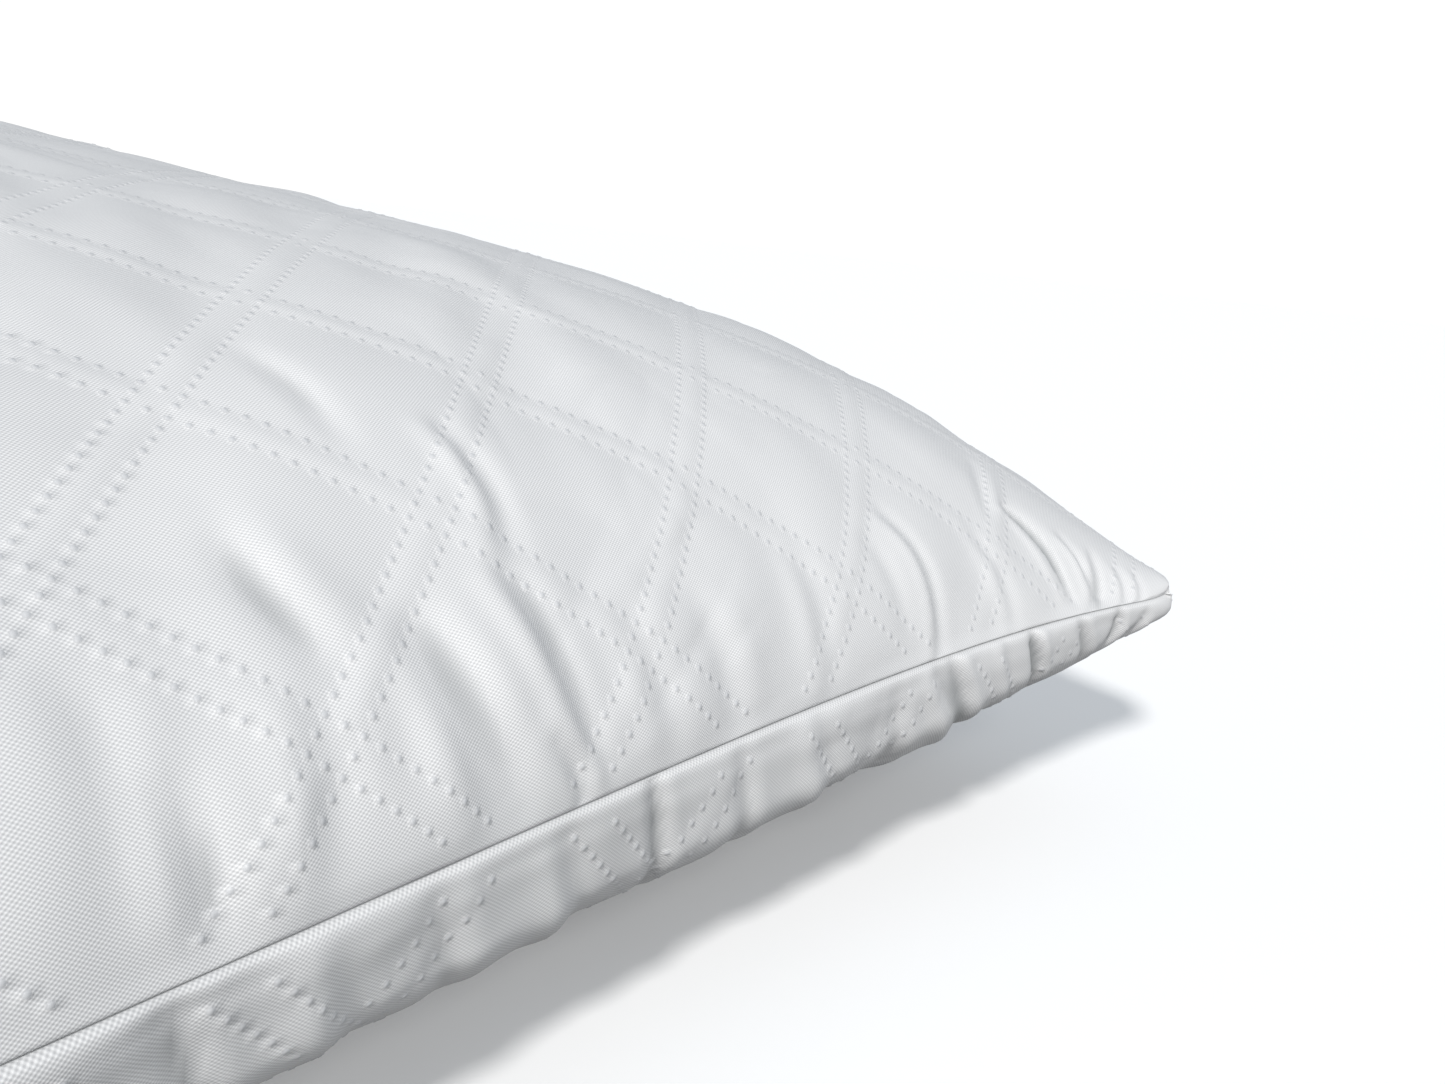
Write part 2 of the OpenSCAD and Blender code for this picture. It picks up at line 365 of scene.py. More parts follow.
FOLDS_DOWN = (
    ((66, 2), (64, 7), (60, 16), 1.9, -2.2, -0.8),
    ((97, 2), (93, 9), (84, 22), 2.2, -1.4, -0.9),
    ((106, 4), (100, 12), (86, 27), 2.4, 1.0, 1.0),
    ((117, 5), (114, 16), (108, 30), 3.0, -0.9, -0.4),
    ((147, 4), (142, 14), (131, 30), 3.0, 0.8, 0.8),
    ((165, 3), (162, 14), (156, 30), 2.6, -1.0, -0.2),
    ((187, 1), (184, 12), (178, 29), 2.0, -1.5, -0.3),
    ((210, 6), (205, 18), (198, 32), 3.0, 0.9, 0.8),
    ((230, 4), (226, 16), (220, 31), 3.0, -0.9, -0.4),
    ((250, 5), (247, 16), (241, 30), 3.2, 0.7, 0.6),
    ((267, 3), (264, 14), (259, 29), 2.6, -1.3, -0.6),
    ((80, 3), (77, 9), (72, 18), 2.0, 0.7, 0.7),
    ((46, 2), (44, 7), (41, 14), 1.9, -1.5, -0.6),
    ((30, 2), (31, 6), (34, 12), 1.7, -1.6, -0.6),
    ((19, 3), (22, 6), (26, 10), 1.5, -1.0, -0.5),
)
VALLEY_FROM, VALLEY_RANGE = 0.6, 1.1  # depth at which the painted shade in a fold starts, and over how much more depth it grows to full
RANDOM_FOLDS = 70
FOLD_MARGIN = 8
HAND_ALONG, HAND_ACROSS = 285, 80  # the zone of the listed folds, from the right and front seams
GATHER_ALONG, GATHER_ACROSS, GATHER_FADE = 310, 130, 40  # where the simulated gathers are weaker
GATHER_FULL, GATHER_LESS = 1.3, 0.9
CALM_SHARE, CALM_SLOPE, CALM_WIDTH, CALM_END = 0.75, 1.2, 28, 320


def fold(u, v, line, width, height, beside):
    """Relief of one fold, which fades out at both ends of its line."""
    start, middle, end = [np.array([[HALF_LENGTH - p[0]], [p[1] - HALF_DEPTH]]) for p in line]
    reach = 5 * width
    low = np.minimum(np.minimum(start, middle), end) - reach
    high = np.maximum(np.maximum(start, middle), end) + reach
    near = (u > low[0]) & (u < high[0]) & (v > low[1]) & (v < high[1])
    relief_here = np.zeros(u.shape)
    if not near.any():
        return relief_here
    w = np.linspace(0, 1, 25)
    pull = 2 * middle - (start + end) / 2
    curve = (1 - w) ** 2 * start + 2 * w * (1 - w) * pull + w ** 2 * end
    away_u, away_v = u[near][:, None] - curve[0], v[near][:, None] - curve[1]
    nearest = np.argmin(away_u ** 2 + away_v ** 2, axis=1)
    tangent_u, tangent_v = np.gradient(curve, axis=1)[:, nearest]
    size = np.hypot(tangent_u, tangent_v) * np.sign(tangent_v + 1e-9)
    pick = np.arange(len(nearest))
    off_u, off_v = away_u[pick, nearest], away_v[pick, nearest]
    across = (off_u * tangent_v - off_v * tangent_u) / size
    along = np.abs(off_u * tangent_u + off_v * tangent_v) / np.abs(size)
    fade = np.sin(math.pi * np.clip(0.12 + 0.8 * w[nearest], 0, 1)) ** 0.7 * np.exp(-((along / width) ** 2))
    main = height * np.exp(-((across / width) ** 2))
    side = beside * np.exp(-(((across - 1.7 * width) / width) ** 2))
    relief_here[near] = (main - side) * fade
    return relief_here


def random_folds(sign):
    """Short folds that run in from the seams, away from the listed ones."""
    random = np.random.default_rng(FOLD_SEED[sign])
    found = []
    for _ in range(RANDOM_FOLDS):
        length = random.uniform(14, 42)
        skew = random.uniform(-0.5, 0.5) * length
        width = random.uniform(2.2, 4.2)
        height = random.choice([-1, 1]) * random.uniform(0.4, 1.3)
        place = random.uniform(0, 1)
        start = random.uniform(1, 8)
        side = random.choice(["front", "back", "left", "right"], p=[0.3, 0.3, 0.2, 0.2])
        if side in ("front", "back"):
            a = FOLD_MARGIN + place * (2 * HALF_LENGTH - 2 * FOLD_MARGIN)
            line = [(a, start), (a + skew * 0.6, start + length / 2), (a + skew, start + length)]
            if side == "back":
                line = [(p[0], 2 * HALF_DEPTH - p[1]) for p in line]
        else:
            b = FOLD_MARGIN + place * (2 * HALF_DEPTH - 2 * FOLD_MARGIN)
            line = [(start, b), (start + length / 2, b + skew * 0.6), (start + length, b + skew)]
            if side == "left":
                line = [(2 * HALF_LENGTH - p[0], p[1]) for p in line]
        in_hand_zone = side in ("front", "right") and line[0][0] < HAND_ALONG and line[0][1] < HAND_ACROSS
        if not in_hand_zone:
            found.append((*line, width, height, 0.6 * height))
    return found


def calm(u, v):
    """Share of the crumpling that is left along the smooth crest that runs up from the front right corner."""
    from_right, from_front = HALF_LENGTH - u, HALF_DEPTH + v
    off = (from_front - CALM_SLOPE * from_right) / 1.56
    return 1 - CALM_SHARE * np.exp(-((off / CALM_WIDTH) ** 2)) * np.clip((CALM_END - from_front) / 60, 0, 1)


def gather_share(u, v):
    """The simulated gathers are weaker where the listed folds lie, at the front right corner."""
    from_right, from_front = HALF_LENGTH - u, HALF_DEPTH + v
    along = np.clip((GATHER_ALONG - from_right) / GATHER_FADE, 0, 1)
    across = np.clip((GATHER_ACROSS - from_front) / GATHER_FADE, 0, 1)
    return GATHER_FULL - GATHER_LESS * (along * across)


def relief(u, v, sign):
    """Quilting, creases and folds in one height, and, 0 to 1, how strongly each point gets painted shade for
    how deep in a fold it lies.
    """
    seed = RELIEF_SEED[sign]
    edge = np.minimum(*from_edges(u, v))
    total = quilting(u, v) * (1 - np.exp(-edge / 10))
    soft = 0.7 * noise(u, v, 70, seed) + 0.6 * noise(u, v, 32, seed + 1)
    fade = 1 - np.exp(-edge / 18)
    total = total + calm(u, v) * (fade * soft + CRUMPLE * (1 - np.exp(-edge / 6)) * crumple(u, v, seed + 3))
    folds = 0
    for *line, width, height, beside in [*(FOLDS_UP if sign > 0 else FOLDS_DOWN), *random_folds(sign)]:
        folds = folds + fold(u, v, line, width, height, beside)
    # painted shade: the deeper a point lies in a fold, the darker its colour
    return total + folds, np.clip((-folds - VALLEY_FROM) / VALLEY_RANGE, 0, 1)


# ---------------- mesh helpers
def add_object(name, data):
    made = bpy.data.objects.new(name, data)
    bpy.context.scene.collection.objects.link(made)
    return made


def add_mesh(name, points, faces, attributes=()):
    """A mesh piece. points are in millimetres; faces is a list of index arrays, one for each face size."""
    data = bpy.data.meshes.new(name)
    faces = [np.asarray(f, int) for f in faces if len(f)]
    loops = np.concatenate([f.ravel() for f in faces])
    sizes = np.concatenate([np.full(len(f), f.shape[1]) for f in faces])
    starts = np.concatenate([[0], np.cumsum(sizes)[:-1]])
    data.vertices.add(len(points))
    data.vertices.foreach_set("co", (np.asarray(points) * MM).astype(np.float32).ravel())
    data.loops.add(len(loops))
    data.loops.foreach_set("vertex_index", loops.astype(np.int32))
    data.polygons.add(len(sizes))
    data.polygons.foreach_set("loop_start", starts.astype(np.int32))
    data.polygons.foreach_set("use_smooth", np.full(len(sizes), True))
    for label, values in attributes:
        kind = "FLOAT_VECTOR" if values.ndim == 2 else "FLOAT"
        layer = data.attributes.new(label, kind, "POINT")
        layer.data.foreach_set("vector" if values.ndim == 2 else "value", values.astype(np.float32).ravel())
    data.update(calc_edges=True)
    data.validate()
    return add_object(name, data)


def numbered(shape, first=0):
    """A grid of consecutive point numbers."""
    return first + np.arange(shape[0] * shape[1]).reshape(shape[:2])


def grid_quads(ids):
    corners = [ids[:-1, :-1], ids[1:, :-1], ids[1:, 1:], ids[:-1, 1:]]
    return np.stack(corners, axis=-1).reshape(-1, 4)


def rim_of(ids):
    """The outer numbers of a grid, counter-clockwise from the front left corner."""
    return np.concatenate([ids[:-1, 0], ids[-1, :-1], ids[:0:-1, -1], ids[0, :0:-1]])


def tube_faces(rings, sides):
    i, j = np.meshgrid(np.arange(rings - 1), np.arange(sides), indexing="ij")
    a = i * sides + j
    b = i * sides + (j + 1) % sides
    return np.stack([a, b, b + sides, a + sides], axis=-1).reshape(-1, 4)


def joined_shell(name, first, second, flip=False):
    """A closed piece between two surfaces on the same grid; flip it if the first is the lower one."""
    ids = numbered(first.shape)
    rim_a = rim_of(ids)
    rim_b = rim_a + ids.size
    band = np.stack([rim_b, np.roll(rim_b, -1), np.roll(rim_a, -1), rim_a], axis=-1)
    faces = [grid_quads(ids), grid_quads(ids + ids.size)[:, ::-1], band]
    if flip:
        faces = [f[:, ::-1] for f in faces]
    return add_mesh(name, np.concatenate([first.reshape(-1, 3), second.reshape(-1, 3)]), faces)


def unit(vectors):
    return vectors / np.maximum(np.linalg.norm(vectors, axis=-1, keepdims=True), 1e-9)


def normals(points):
    """Unit normals of a grid of points, upwards for a level grid."""
    return unit(np.cross(np.gradient(points, axis=0), np.gradient(points, axis=1)))


# ---------------- simulated gathers
SIM_U = even_lines(HALF_LENGTH, 4 * STEP)
SIM_V = even_lines(HALF_DEPTH, 4 * STEP)
SIM_FRAMES = 24
SIM_SEED = 3
SIM_ROUGHNESS = 0.15
SIM_CLOTH = {
    "quality": 5,
    "mass": 0.3,
    "tension_stiffness": 30,
    "compression_stiffness": 5,
    "shear_stiffness": 8,
    "bending_stiffness": 0.4,
    "air_damping": 2,
    "use_pressure": True,
    "uniform_pressure_force": 12.0,
    "shrink_min": -0.03,
    "vertex_group_mass": "seam",
}
SIM_BROAD = 3.0
SIM_CAP = 3.5


def shifted(field, axis, reach, mode):
    """Copies of a grid moved along one axis by up to reach cells either way."""
    padded = np.pad(field, [(reach, reach) if k == axis else (0, 0) for k in range(2)], mode=mode)
    return [np.take(padded, np.arange(field.shape[axis]) + k, axis=axis) for k in range(2 * reach + 1)]


def blurred(field, axis):
    """Running weighted mean along one axis, SIM_BROAD cells wide."""
    reach = int(3 * SIM_BROAD)
    weights = np.exp(-0.5 * (np.arange(-reach, reach + 1) / SIM_BROAD) ** 2)
    return sum(w * part for w, part in zip(weights, shifted(field, axis, reach, "reflect"))) / weights.sum()


def blown_up(bag, seam_ids):
    """The points of a cloth bag after it is inflated with its seam held. The bag itself is removed."""
    bag.vertex_groups.new(name="seam").add(seam_ids.tolist(), 1.0, "REPLACE")
    cloth = bag.modifiers.new("cloth", "CLOTH")
    cloth.collision_settings.use_collision = False
    cloth.collision_settings.use_self_collision = False
    cloth.point_cache.frame_end = SIM_FRAMES
    for key, value in SIM_CLOTH.items():
        setattr(cloth.settings, key, value)
    cloth.settings.effector_weights.gravity = 0
    for frame_number in range(1, SIM_FRAMES + 1):
        bpy.context.scene.frame_set(frame_number)
    blown = bag.evaluated_get(bpy.context.evaluated_depsgraph_get()).data
    places = np.zeros(3 * len(blown.vertices))
    blown.vertices.foreach_get("co", places)
    bpy.context.scene.frame_set(1)
    bpy.data.objects.remove(bag)
    return places.reshape(-1, 3) / MM


def simulated_gathers(upper, lower):
    """Both panels as one cloth bag, cut a little too large and inflated with its seam held.

    The bag's broad swelling is dropped, because the panels already have their shape. What stays, by sign, is
    how far the gathers stand out of each panel on the lines SIM_U and SIM_V.
    """
    u, v = np.meshgrid(SIM_U, SIM_V, indexing="ij")
    first, second = sample(upper, u, v), sample(lower, u, v)
    ids_first = numbered(u.shape)
    rim = np.isin(ids_first, rim_of(ids_first))
    ids_second = ids_first.copy()
    ids_second[~rim] = u.size + np.arange(np.count_nonzero(~rim))
    points = np.concatenate([first.reshape(-1, 3), second[~rim]])
    points += np.random.default_rng(SIM_SEED).normal(0, SIM_ROUGHNESS, points.shape)
    bag = add_mesh("cloth_bag", points, [grid_quads(ids_first), grid_quads(ids_second)[:, ::-1]])
    places = blown_up(bag, ids_first[rim])
    from_end, from_side = from_edges(u, v)
    beside_long = (from_end + 1) ** 2 / ((from_end + 1) ** 2 + (from_side + 1) ** 2)
    found = {}
    for sign, shape, ids in ((1, first, ids_first), (-1, second, ids_second)):
        out = np.sum((places[ids] - shape) * normals(shape) * sign, axis=-1)
        gather = beside_long * (out - blurred(out, 0)) + (1 - beside_long) * (out - blurred(out, 1))
        gather[rim] = 0
        found[sign] = SIM_CAP * np.tanh(gather / SIM_CAP)
    return found


def gather_at(field, u, v):
    """How far the simulated gathers stand out at u and v."""
    def value_at(a, b):
        return field[np.clip(a, 0, len(SIM_U) - 1), np.clip(b, 0, len(SIM_V) - 1)]

    return spline_sum(grid_place(SIM_U, u), grid_place(SIM_V, v), value_at)


# ---------------- face fabrics
DOT_RADIUS = 0.62
DOT_FACE_RADIUS = 0.4
DOT_RISE = 0.17
SEAM_PINCH, SEAM_ROLL = 0.4, 1.0
SEAM_GAP = 0.1
# SEAM_SHADE is how far from the rim the painted shade of the seam line reaches; HIDDEN_SHADE is its strength
# there and on the hidden inner side
SEAM_SHADE = 0.25
HIDDEN_SHADE = 0.45
BEAD_HEIGHT, BEAD_FOOT = 0.45, 0.5
BEAD_PLACE, BEAD_WIDTH = 1.5, 1.0
EAR_HEIGHT, EAR_REACH = 2.2, 15.0
ALLOWANCE = 10.0
ALLOWANCE_GAP = 0.15
ALLOWANCE_CLOTH = 0.5
CLOTH = 1.0
FINE_U, FINE_V = 48 * STEP, 24 * STEP
RIM_LINES = np.array([0.25, 0.5, 0.8])


def cloth_lines(half, fine_from, side):
    """Grid lines of a panel: half steps beyond fine_from on one side, and extra lines along both rims."""
    count = int(round(half / STEP))
    lines = STEP * np.arange(-count, count + 1)
    middles = lines[:-1] + STEP / 2
    fine = middles[side * middles > fine_from]
    extra = np.concatenate([half - RIM_LINES, RIM_LINES - half])
    return np.unique(np.round(np.concatenate([lines, fine, extra]), 5))


def every_second(lines):
    return np.unique(np.append(np.arange(0, len(lines), 2), len(lines) - 1))


U_LINES = cloth_lines(HALF_LENGTH, FINE_U, 1)
V_LINES = cloth_lines(HALF_DEPTH, FINE_V, -1)
PANEL_U, PANEL_V = np.meshgrid(U_LINES, V_LINES, indexing="ij")
INNER = np.ix_(every_second(U_LINES), every_second(V_LINES))


def lowest_near(field, reach):
    """The lowest value of a grid within reach cells."""
    for axis in (0, 1):
        field = np.min(shifted(field, axis, reach, "edge"), axis=0)
    return field


def outer_side(smooth, sign, gathered):
    """The outer side of a face fabric before its welds: height off the panel, points, and the painted shade
    along the seam line and in deep folds.
    """
    u, v = PANEL_U, PANEL_V
    from_end, from_side = from_edges(u, v)
    from_rim = np.minimum(from_end, from_side)
    depth, painted_fold_shade = relief(u, v, sign)
    depth = depth + puckers(u, v, sign)
    depth = depth + gather_share(u, v) * calm(u, v) * gather_at(gathered[sign], u, v)
    ear = np.exp(-(((from_end + from_side) / EAR_REACH) ** 2))
    if sign > 0:
        depth = depth + EAR_HEIGHT * ear * (1 - np.exp(-from_rim / 1.5))
    else:
        depth = depth + BEAD_HEIGHT * np.exp(-(((from_rim - BEAD_PLACE) / BEAD_WIDTH) ** 2))
        depth = depth + BEAD_FOOT * np.exp(-(((from_rim - 3 * BEAD_PLACE) / (3 * BEAD_WIDTH)) ** 2))
    off_seam = np.abs(smooth[..., 2] - seam_height(u))
    # creases stay shallow near the seam, so that they don't reach the allowance behind
    room = 0.3 + 0.17 * off_seam + 1.5 * np.clip(1 - from_rim / 10, 0, 1)
    deepest = np.minimum(0.42 * from_rim, room)
    depth = np.maximum(depth, -deepest) * np.clip(from_rim / 0.8, 0, 1)
    points = smooth + normals(smooth) * sign * depth[..., None]

    # the seam draws the rim in, less so at the corner
    pinch = SEAM_PINCH * np.clip(1 - from_rim / SEAM_ROLL, 0, 1) ** 2 * (1 - ear)
    near_end = from_end < from_side
    points[..., 0] -= np.sign(points[..., 0]) * pinch * near_end
    points[..., 1] -= np.sign(points[..., 1]) * pinch * ~near_end
    rim_height = seam_height(u) + sign * SEAM_GAP * (1 - 0.8 * ear)
    points[..., 2] = np.where(from_rim < 1e-6, rim_height, points[..., 2])
    # painted shade: the colour darkens along the seam line, less so towards the corner
    seam_shade = HIDDEN_SHADE * np.exp(-((from_rim / SEAM_SHADE) ** 2)) * (1 - ear)
    return depth, on_floor(points, sign), np.maximum(seam_shade, painted_fold_shade)


def on_floor(points, sign):
    """Keeps the lower panel out of the floor."""
    if sign < 0:
        points[..., 2] = np.maximum(points[..., 2], 0)
    return points


def weld_rings(points, out, i, j):
    """Two rings of eight points round each weld, its foot and its raised face, and their u and v."""
    rings = np.zeros((len(i), 2, 8, 3))
    places = np.zeros((len(i), 2, 8, 2))
    for m in range(8):
        across, along = math.cos(m * math.pi / 4), math.sin(m * math.pi / 4)
        step_i, step_j = int(np.sign(round(across, 6))), int(np.sign(round(along, 6)))
        wide = np.abs(U_LINES[i + step_i] - U_LINES[i])[:, None]
        deep = np.abs(V_LINES[j + step_j] - V_LINES[j])[:, None]
        for ring, (radius, rise) in enumerate(((DOT_RADIUS, 0.0), (DOT_FACE_RADIUS, DOT_RISE))):
            fi = abs(across) * radius / wide if step_i else 0.0
            fj = abs(along) * radius / deep if step_j else 0.0
            near = points[i, j] * (1 - fi) + points[i + step_i, j] * fi
            far = points[i, j + step_j] * (1 - fi) + points[i + step_i, j + step_j] * fi
            rings[:, ring, m] = near * (1 - fj) + far * fj + out[i, j] * rise
            places[:, ring, m, 0] = U_LINES[i] + across * radius
            places[:, ring, m, 1] = V_LINES[j] + along * radius
    return rings.reshape(-1, 3), places.reshape(-1, 2)


def welded_faces(dots):
    """Faces of the outer side: whole grid cells, and cells cut round the welds at their corners."""
    cells = grid_quads(numbered(dots.shape))
    welds = dots.ravel()[cells]
    order = np.cumsum(dots.ravel()) - 1
    ring_first = dots.size + 16 * order
    four, five = [cells[~welds.any(axis=1)]], []
    for c in range(4):
        here = welds[:, c]
        x, y, z, w = (cells[here][:, (c + k) % 4] for k in range(4))
        o = [ring_first[x] + (2 * c + k) % 8 for k in range(3)]
        i = [ring_first[x] + 8 + (2 * c + k) % 8 for k in range(3)]
        four.append(np.stack([i[0], o[0], o[1], i[1]], axis=-1))
        four.append(np.stack([i[1], o[1], o[2], i[2]], axis=-1))
        four.append(np.stack([x, i[0], i[1], i[2]], axis=-1))
        lone = ~welds[here][:, (c + 2) % 4]
        four.append(np.stack([o[0], y, z, o[1]], axis=-1)[lone])
        four.append(np.stack([o[1], z, w, o[2]], axis=-1)[lone])
        if c < 2:
            q = [ring_first[z] + (2 * (c + 2) + k) % 8 for k in range(3)]
            five.append(np.stack([o[0], y, q[2], q[1], o[1]], axis=-1)[~lone])
            five.append(np.stack([o[1], q[1], q[0], w, o[2]], axis=-1)[~lone])
    return [np.concatenate(four), np.concatenate(five)]


def inner_side(smooth, depth, sign):
    """The inner side of a face fabric, on every second line, clear of the outer side."""
    low = lowest_near(depth, 2)[INNER]
    inner = smooth[INNER] + (normals(smooth) * sign)[INNER] * (low - CLOTH)[..., None]
    inner[..., :2] *= 1 - 2 * CLOTH / HALF_SIZE
    clear = seam_height(PANEL_U[INNER]) + sign * (ALLOWANCE_GAP + ALLOWANCE_CLOTH) * 1.02
    if sign > 0:
        inner[..., 2] = np.maximum(inner[..., 2], clear)
    else:
        inner[..., 2] = np.minimum(np.maximum(inner[..., 2], CLOTH), clear)
    return inner


def turned_in(outer_ids, inner_ids, smooth, sign):
    """The seam allowance: its u and v, its two rings of points, and the faces that join it to both sides."""
    fine_rim = rim_of(outer_ids)
    kept = np.isin(fine_rim, outer_ids[INNER])
    turned = smooth.reshape(-1, 3)[fine_rim[kept]]
    turned[:, :2] *= 1 - ALLOWANCE / HALF_SIZE
    count = len(turned)
    lower_first = inner_ids[-1, -1] + 1
    upper_first = lower_first + count
    inner_rim = rim_of(inner_ids)
    k = np.arange(count)
    n = (k + 1) % count
    faces = [
        np.stack([lower_first + n, lower_first + k, upper_first + k, upper_first + n], axis=-1),
        np.stack([upper_first + n, upper_first + k, inner_rim[k], inner_rim[n]], axis=-1),
    ]
    strips = {}
    stops = np.append(np.nonzero(kept)[0], len(fine_rim))
    for s in range(count):
        run = fine_rim[np.arange(stops[s], stops[s + 1] + 1) % len(fine_rim)]
        polygon = [lower_first + s, lower_first + (s + 1) % count, *run[::-1]]
        strips.setdefault(len(polygon), []).append(polygon)
    lower_ring = turned + [0, 0, sign * ALLOWANCE_GAP]
    upper_ring = turned + [0, 0, sign * (ALLOWANCE_GAP + ALLOWANCE_CLOTH)]
    return turned[:, :2], [lower_ring, upper_ring], faces + [np.array(s) for s in strips.values()]


def panel_piece(name, base, sign, gathered):
    """A quilted face fabric as a closed shell: outer side with its welds, turned-in allowance, inner side."""
    smooth = sample(base, PANEL_U, PANEL_V)
    depth, points, outer_shade = outer_side(smooth, sign, gathered)
    out = normals(points) * sign
    dots = is_dot(PANEL_U, PANEL_V)
    dot_i, dot_j = np.nonzero(dots)
    rings, ring_places = weld_rings(points, out, dot_i, dot_j)
    points[dot_i, dot_j] += out[dot_i, dot_j] * DOT_RISE
    inner = inner_side(smooth, depth, sign)
    outer_ids = numbered(points.shape)
    inner_first = outer_ids.size + len(rings)
    inner_ids = numbered(inner.shape, inner_first)
    turned, turned_rings, turned_faces = turned_in(outer_ids, inner_ids, smooth, sign)
    faces = welded_faces(dots) + [grid_quads(inner_ids)[:, ::-1]] + turned_faces
    if sign < 0:
        faces = [f[:, ::-1] for f in faces]
    outer_points = [on_floor(points, sign).reshape(-1, 3), on_floor(rings, sign)]
    everything = np.concatenate([*outer_points, inner.reshape(-1, 3), *turned_rings])

    places = np.stack([PANEL_U, PANEL_V], axis=-1)
    flat = np.concatenate([places.reshape(-1, 2), ring_places, places[INNER].reshape(-1, 2), turned, turned])
    cloth = np.concatenate([flat * MM, np.zeros((len(flat), 1))], axis=1)
    shade = np.zeros(len(everything))
    shade[:outer_ids.size] = outer_shade.ravel()
    # painted shade: the inner side and the turned-in allowance are darkened, as for the shade inside the seam
    shade[inner_first:] = HIDDEN_SHADE
    weld = np.zeros(len(everything))
    weld[outer_ids[dots]] = 1
    weld[outer_ids.size:inner_first].reshape(-1, 16)[:, 8:] = 1
    return add_mesh(name, everything, faces, [("cloth", cloth), ("weld", weld), ("shade", shade)])


# ---------------- inner layers and fill
LAYER_COUNT_U, LAYER_COUNT_V = 59, 43
LAYER_DENT = 0.5
# for the outer and the inner side: depth under the face fabric, inset of the rim, height there, seed
WADDING = (4.6, 9.0, 3.0, 200), (9.6, 11.0, 2.5, 201)
LINING = (10.0, 11.5, 2.35, 201), (10.8, 12.3, 2.1, 201)
FILL_UP, FILL_DOWN = (11.6, 16.0, 0.6, 210), (11.6, 16.0, 0.6, 211)


def inner_surface(base, sign, depth, inset, lift, seed):
    """A coarse surface depth inside a panel, thinning towards the seam; its rim is inset from the seam."""
    u_lines = np.linspace(-HALF_LENGTH, HALF_LENGTH, LAYER_COUNT_U)
    v_lines = np.linspace(-HALF_DEPTH, HALF_DEPTH, LAYER_COUNT_V)
    u, v = np.meshgrid(u_lines, v_lines, indexing="ij")
    points = sample(base, u, v)
    middle = seam_height(u)
    off_seam = np.abs(points[..., 2] - middle)
    dents = LAYER_DENT * (0.5 + 0.5 * noise(u, v, 26, seed)) * (1 - np.exp(-off_seam / 30))
    off_seam = off_seam - depth * (1 - np.exp(-off_seam / (2 * depth))) - dents
    points[..., 2] = middle + sign * np.hypot(np.maximum(off_seam, 0), lift)
    points[..., :2] *= 1 - inset / HALF_SIZE
    return points


def layer_piece(name, base, sign, layer):
    """One layer of the quilt behind a face fabric."""
    outer, inner = [inner_surface(base, sign, *side) for side in layer]
    return joined_shell(name, outer, inner, flip=sign < 0)


def fill_piece(upper, lower):
    """The loose fibre fill as one lumpy closed form."""
    first, second = inner_surface(upper, 1, *FILL_UP), inner_surface(lower, -1, *FILL_DOWN)
    return joined_shell("fibre_filling", first, second)


# ---------------- threads
STITCH_PITCH, STITCH_LENGTH = 2.8, 2.5
STITCH_RADIUS = 0.3
STITCH_INSET = 1.9
STITCH_SIDES = 6
STITCH_PLACES = np.array([-1.0, -0.85, -0.45, 0.0, 0.45, 0.85, 1.0])
STITCH_SWELL = np.array([0.25, 0.75, 1.0, 1.0, 1.0, 0.75, 0.25])
STITCH_DIP = np.array([0.35, 0.2, 0.03, 0.0, 0.03, 0.2, 0.35])
CLOSING_PITCH, CLOSING_LENGTH = 2.2, 1.9
CLOSING_HALF = 120.0
COIL_PITCH = 3.0
COIL_RADIUS = 1.0
COIL_THREAD = 0.26
COIL_INSET = 11.0
COIL_SHARE = 0.94
COIL_TURN, COIL_SIDES = 8, 5
CORNER_CLEAR = 9.0
UP = np.array([0, 0, 1.0])


def seam_line(base, side, inset):
    """Points along one side of the seam, moved in from the edge and clear of the corners."""
    edges = {"front": base[:, 0], "back": base[:, -1], "left": base[0, :], "right": base[-1, :]}
    edge = edges[side].copy()
    edge[:, :2] *= 1 - inset / HALF_SIZE
    corner = int(CORNER_CLEAR / BASE_STEP)
    return edge[corner:-corner]


def even_line(points, spacing):
    """Points at even distances along a line, the line's directions, and the level ones across it."""
    length = lengths_along(points)
    count = max(3, int(round(length[-1] / spacing)) + 1)
    even = resampled(points, length, np.linspace(0, length[-1], count))
    tangents = unit(np.gradient(even, axis=0))
    return even, tangents, unit(np.cross(UP, tangents))


def stitch_row(name, line, pitch, length):
    """A row of lockstitches, each a short plump length of thread whose ends dip into the cloth."""
    centres, tangents, across = even_line(line, pitch)
    turn = np.arange(STITCH_SIDES) * 2 * math.pi / STITCH_SIDES
    ring = (np.cos(turn)[:, None, None] * across + np.sin(turn)[:, None, None] * UP).transpose(1, 0, 2)
    spine = centres[:, None] + tangents[:, None] * (STITCH_PLACES * length / 2)[:, None]
    spine = spine - UP * STITCH_DIP[:, None]
    points = spine[:, :, None] + ring[:, None] * (STITCH_SWELL * STITCH_RADIUS)[:, None, None]
    count = len(STITCH_PLACES) * STITCH_SIDES
    one = tube_faces(len(STITCH_PLACES), STITCH_SIDES)
    end = np.arange(STITCH_SIDES)
    caps = np.stack([end[::-1], end + count - STITCH_SIDES])
    starts = (np.arange(len(centres)) * count)[:, None, None]
    faces = [(one + starts).reshape(-1, 4), (caps + starts).reshape(-1, STITCH_SIDES)]
    return add_mesh(name, points.reshape(-1, 3), faces)


